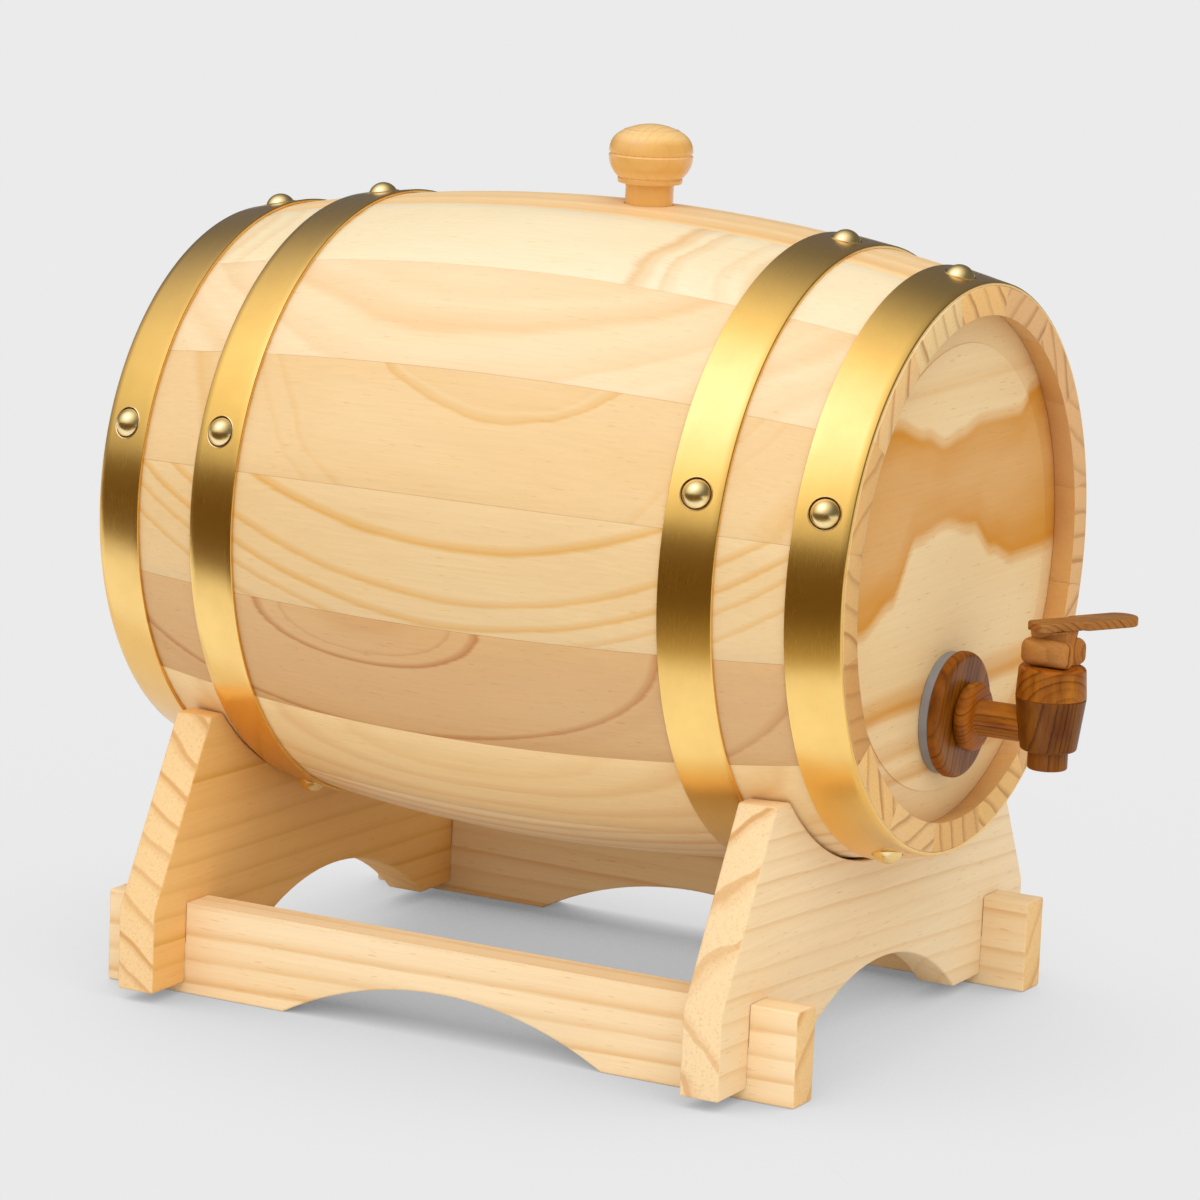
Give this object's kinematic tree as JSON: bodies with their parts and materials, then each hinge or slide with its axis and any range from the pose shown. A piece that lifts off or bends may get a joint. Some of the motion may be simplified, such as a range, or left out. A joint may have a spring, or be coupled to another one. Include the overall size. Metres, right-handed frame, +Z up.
{
  "type": "wooden barrel dispenser",
  "caption": "Small wooden barrel on a cradle stand, bound with brass hoops, with a turned wooden tap in its head and a pull-out bung on top.",
  "frame": {"origin": "on the ground below the middle of the whole object, between the stand's rails", "axes": "+Z up, the barrel along Y with its tap towards -Y, +X to the right of someone facing the tap's side from behind the tap"},
  "size_m": [0.246, 0.3538, 0.3199],
  "materials": {
    "stave_pine": "satin clear lacquer",
    "head_pine": "satin clear lacquer",
    "stand_pine": "satin clear lacquer",
    "hoop_brass": "satin",
    "rivet_brass": "polished",
    "tap_wood": "oiled dark wood",
    "bung_maple": "satin clear lacquer",
    "silicone": "translucent grey silicone",
    "seal_rubber": "black rubber"
  },
  "bodies": {
    "stand": {"front_cradle": "stand_pine", "rear_cradle": "stand_pine", "left_rail": "stand_pine", "right_rail": "stand_pine"},
    "barrel": {"stave_01": "stave_pine", "stave_02": "stave_pine", "stave_03": "stave_pine", "stave_04": "stave_pine", "stave_05": "stave_pine", "stave_06": "stave_pine", "stave_07": "stave_pine", "stave_08": "stave_pine", "stave_09": "stave_pine", "stave_10": "stave_pine", "stave_11": "stave_pine", "stave_12": "stave_pine", "stave_13": "stave_pine", "stave_14": "stave_pine", "stave_15": "stave_pine", "stave_16": "stave_pine", "front_head": "head_pine", "rear_head": "head_pine", "front_outer_hoop": "hoop_brass", "front_inner_hoop": "hoop_brass", "rear_inner_hoop": "hoop_brass", "rear_outer_hoop": "hoop_brass", "front_outer_rivets": "rivet_brass", "front_inner_rivets": "rivet_brass", "rear_inner_rivets": "rivet_brass", "rear_outer_rivets": "rivet_brass", "outer_gasket": "silicone", "tap_flange": "tap_wood", "tap_stem": "tap_wood", "inner_gasket": "silicone", "lock_nut": "tap_wood", "tap_body": "tap_wood", "tap_bonnet": "tap_wood", "tap_spout": "tap_wood"},
    "tap_key": {"valve_plug": "tap_wood", "plug_seals": "seal_rubber", "key_block": "tap_wood", "tap_lever": "tap_wood"},
    "bung": {"bung": "bung_maple", "bung_sleeve": "silicone"}
  },
  "joints": [
    {"name": "barrel_lift", "type": "slide", "parent": "stand", "child": "barrel", "axis": [0, 0, 1], "range_m": [0, 0.15]},
    {"name": "tap_turn", "type": "hinge", "parent": "barrel", "child": "tap_key", "pos_m": [0, -0.1564, 0.122], "axis": [0, 0, -1], "range_deg": [-30, 60]},
    {"name": "bung_pull", "type": "slide", "parent": "barrel", "child": "bung", "axis": [0, 0, 1], "range_m": [0, 0.06]}
  ]
}
